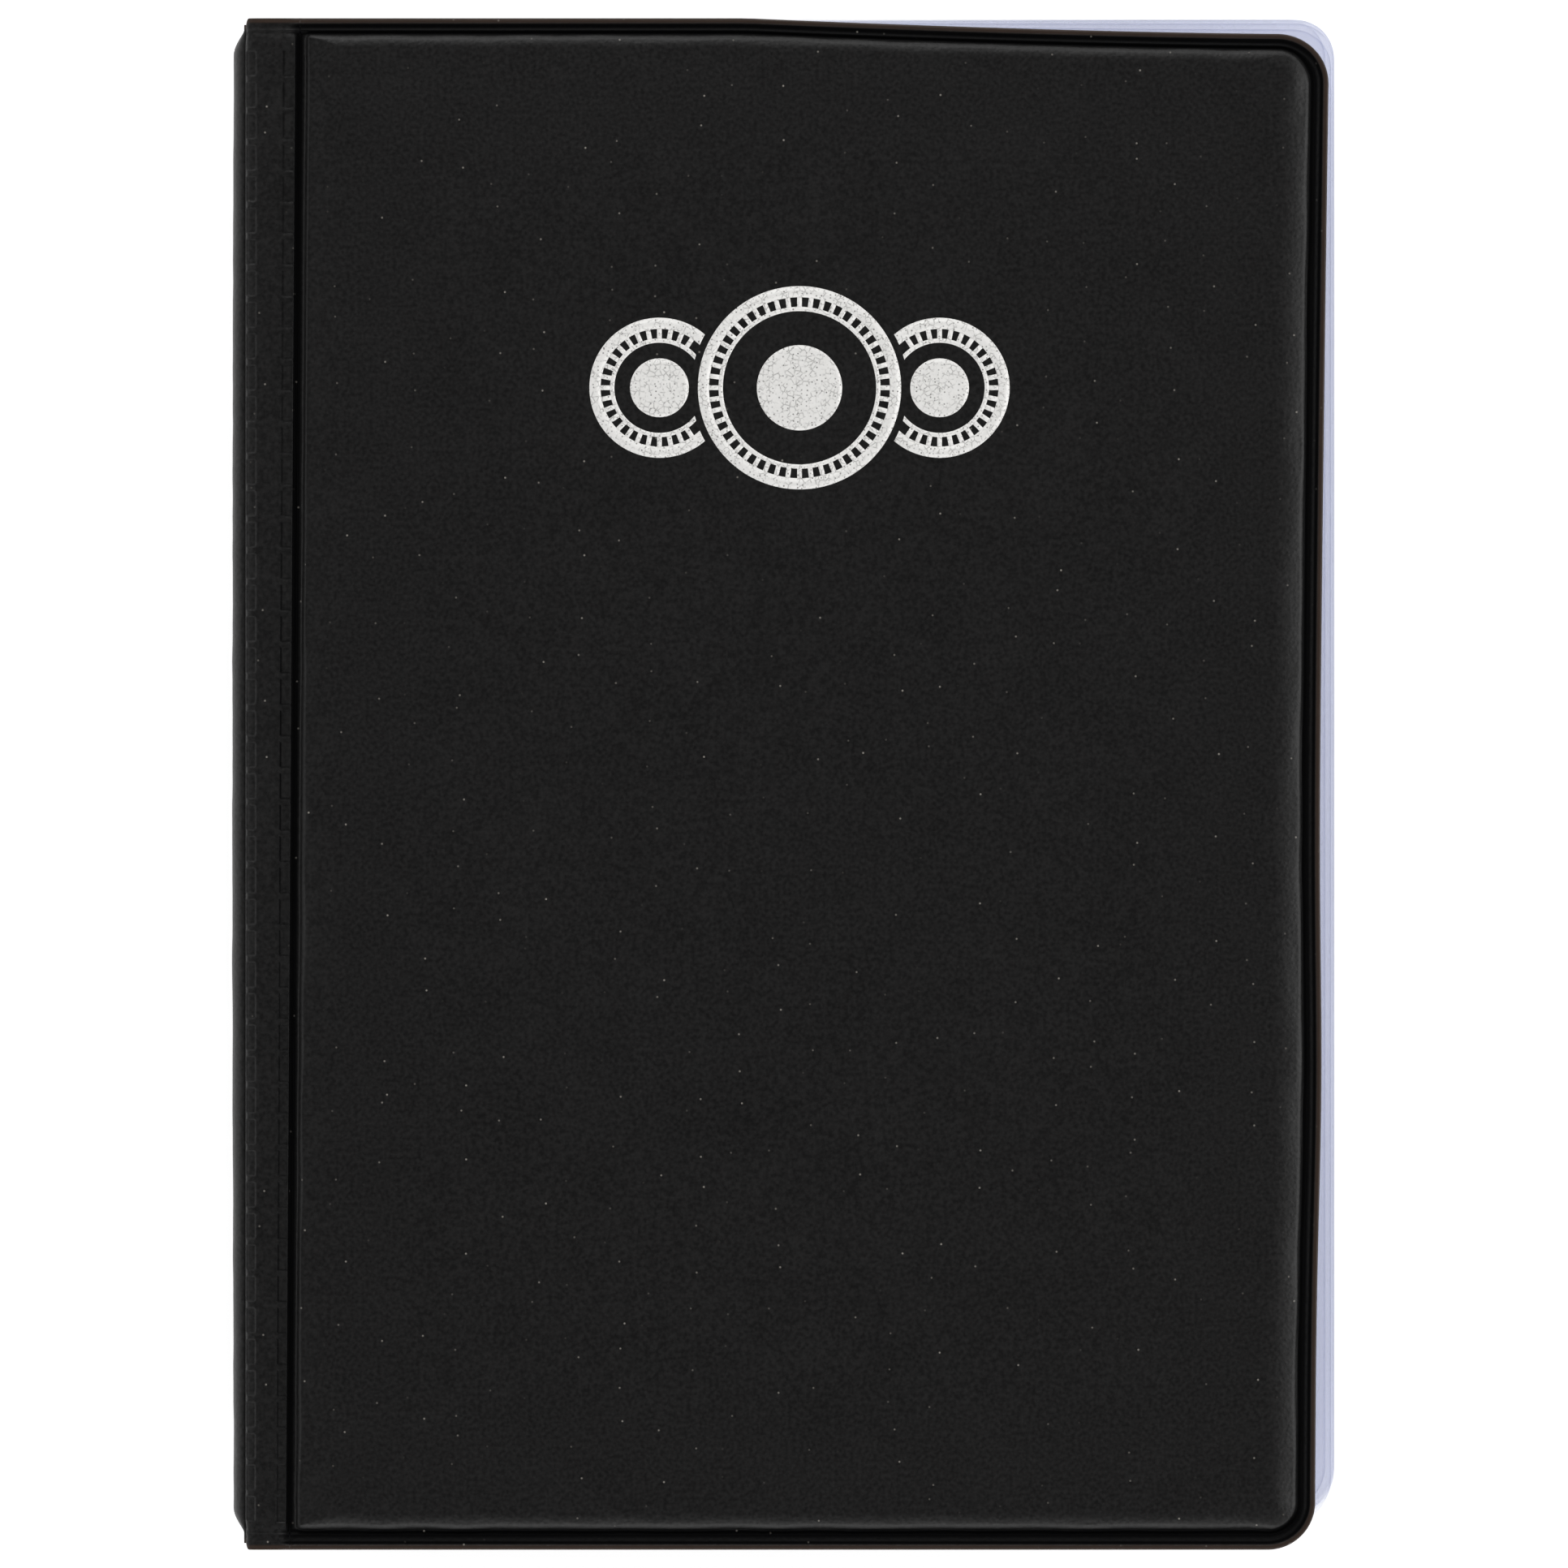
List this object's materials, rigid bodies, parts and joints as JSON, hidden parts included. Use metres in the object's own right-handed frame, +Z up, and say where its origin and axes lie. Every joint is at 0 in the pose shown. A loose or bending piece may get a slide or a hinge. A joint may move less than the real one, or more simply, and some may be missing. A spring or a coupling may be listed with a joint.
{
  "type": "coin album",
  "caption": "Pocket-size coin album: padded black vinyl covers and spine with welded rims, clear plastic pocket leaves, covers that open flat and leaves that fan out.",
  "frame": {"origin": "middle of the underside of the closed album, on the surface it lies on", "axes": "+Z up through the front cover, +Y to the head of the album, +X from the spine to the fore edge"},
  "size_m": [0.1282, 0.178, 0.015],
  "materials": {
    "cover_vinyl": "pebble-grained black vinyl, satin",
    "lining_vinyl": "smooth black vinyl lining, satin",
    "foam": "thin open foam padding",
    "board": "grey-brown bookbinding board",
    "silver_foil": "hot-stamped silver foil, satin",
    "binding_vinyl": "black welded vinyl strip",
    "leaf_film": "clear soft plastic film with a faint lilac tint"
  },
  "bodies": {
    "back_cover": {"back_skin": "cover_vinyl", "back_foam": "foam", "back_board": "board", "back_lining": "lining_vinyl"},
    "spine": {"spine_skin": "cover_vinyl", "spine_foam": "foam", "spine_card": "board", "spine_lining": "lining_vinyl", "binding_strip": "binding_vinyl", "leaf_stubs": "leaf_film"},
    "front_cover": {"front_skin": "cover_vinyl", "front_foam": "foam", "front_board": "board", "front_lining": "lining_vinyl", "foil_emblem": "silver_foil"},
    "leaf_01": {"leaf_01_sheet": "leaf_film", "leaf_01_seams": "leaf_film", "leaf_01_pockets": "leaf_film"},
    "leaf_02": {"leaf_02_sheet": "leaf_film", "leaf_02_seams": "leaf_film", "leaf_02_pockets": "leaf_film"},
    "leaf_03": {"leaf_03_sheet": "leaf_film", "leaf_03_seams": "leaf_film", "leaf_03_pockets": "leaf_film"},
    "leaf_04": {"leaf_04_sheet": "leaf_film", "leaf_04_seams": "leaf_film", "leaf_04_pockets": "leaf_film"},
    "leaf_05": {"leaf_05_sheet": "leaf_film", "leaf_05_seams": "leaf_film", "leaf_05_pockets": "leaf_film"},
    "leaf_06": {"leaf_06_sheet": "leaf_film", "leaf_06_seams": "leaf_film", "leaf_06_pockets": "leaf_film"},
    "leaf_07": {"leaf_07_sheet": "leaf_film", "leaf_07_seams": "leaf_film", "leaf_07_pockets": "leaf_film"},
    "leaf_08": {"leaf_08_sheet": "leaf_film", "leaf_08_seams": "leaf_film", "leaf_08_pockets": "leaf_film"},
    "leaf_09": {"leaf_09_sheet": "leaf_film", "leaf_09_seams": "leaf_film", "leaf_09_pockets": "leaf_film"},
    "leaf_10": {"leaf_10_sheet": "leaf_film", "leaf_10_seams": "leaf_film", "leaf_10_pockets": "leaf_film"}
  },
  "joints": [
    {"name": "spine_hinge", "type": "hinge", "parent": "back_cover", "child": "spine", "pos_m": [-0.0625, 0, 0.0016], "axis": [0, -1, 0], "range_deg": [0, 90]},
    {"name": "front_cover_hinge", "type": "hinge", "parent": "spine", "child": "front_cover", "pos_m": [-0.0625, 0, 0.0134], "axis": [0, -1, 0], "range_deg": [0, 90]},
    {"name": "leaf_01_fold", "type": "hinge", "parent": "spine", "child": "leaf_01", "pos_m": [-0.06, 0, 0.0032], "axis": [0, -1, 0], "range_deg": [-81, 0]},
    {"name": "leaf_02_fold", "type": "hinge", "parent": "spine", "child": "leaf_02", "pos_m": [-0.06, 0, 0.0041], "axis": [0, -1, 0], "range_deg": [-63, 0]},
    {"name": "leaf_03_fold", "type": "hinge", "parent": "spine", "child": "leaf_03", "pos_m": [-0.06, 0, 0.005], "axis": [0, -1, 0], "range_deg": [-45, 0]},
    {"name": "leaf_04_fold", "type": "hinge", "parent": "spine", "child": "leaf_04", "pos_m": [-0.06, 0, 0.0059], "axis": [0, -1, 0], "range_deg": [-27, 0]},
    {"name": "leaf_05_fold", "type": "hinge", "parent": "spine", "child": "leaf_05", "pos_m": [-0.06, 0, 0.0068], "axis": [0, -1, 0], "range_deg": [-9, 0]},
    {"name": "leaf_06_fold", "type": "hinge", "parent": "spine", "child": "leaf_06", "pos_m": [-0.06, 0, 0.0077], "axis": [0, -1, 0], "range_deg": [0, 9]},
    {"name": "leaf_07_fold", "type": "hinge", "parent": "spine", "child": "leaf_07", "pos_m": [-0.06, 0, 0.0086], "axis": [0, -1, 0], "range_deg": [0, 27]},
    {"name": "leaf_08_fold", "type": "hinge", "parent": "spine", "child": "leaf_08", "pos_m": [-0.06, 0, 0.0095], "axis": [0, -1, 0], "range_deg": [0, 45]},
    {"name": "leaf_09_fold", "type": "hinge", "parent": "spine", "child": "leaf_09", "pos_m": [-0.06, 0, 0.0104], "axis": [0, -1, 0], "range_deg": [0, 63]},
    {"name": "leaf_10_fold", "type": "hinge", "parent": "spine", "child": "leaf_10", "pos_m": [-0.06, 0, 0.0113], "axis": [0, -1, 0], "range_deg": [0, 81]}
  ],
  "couplings": [
    {"joint": "front_cover_hinge", "follows": "spine_hinge", "ratio": 1},
    {"joint": "leaf_01_fold", "follows": "spine_hinge", "ratio": -0.9},
    {"joint": "leaf_02_fold", "follows": "spine_hinge", "ratio": -0.7},
    {"joint": "leaf_03_fold", "follows": "spine_hinge", "ratio": -0.5},
    {"joint": "leaf_04_fold", "follows": "spine_hinge", "ratio": -0.3},
    {"joint": "leaf_05_fold", "follows": "spine_hinge", "ratio": -0.1},
    {"joint": "leaf_06_fold", "follows": "spine_hinge", "ratio": 0.1},
    {"joint": "leaf_07_fold", "follows": "spine_hinge", "ratio": 0.3},
    {"joint": "leaf_08_fold", "follows": "spine_hinge", "ratio": 0.5},
    {"joint": "leaf_09_fold", "follows": "spine_hinge", "ratio": 0.7},
    {"joint": "leaf_10_fold", "follows": "spine_hinge", "ratio": 0.9}
  ]
}
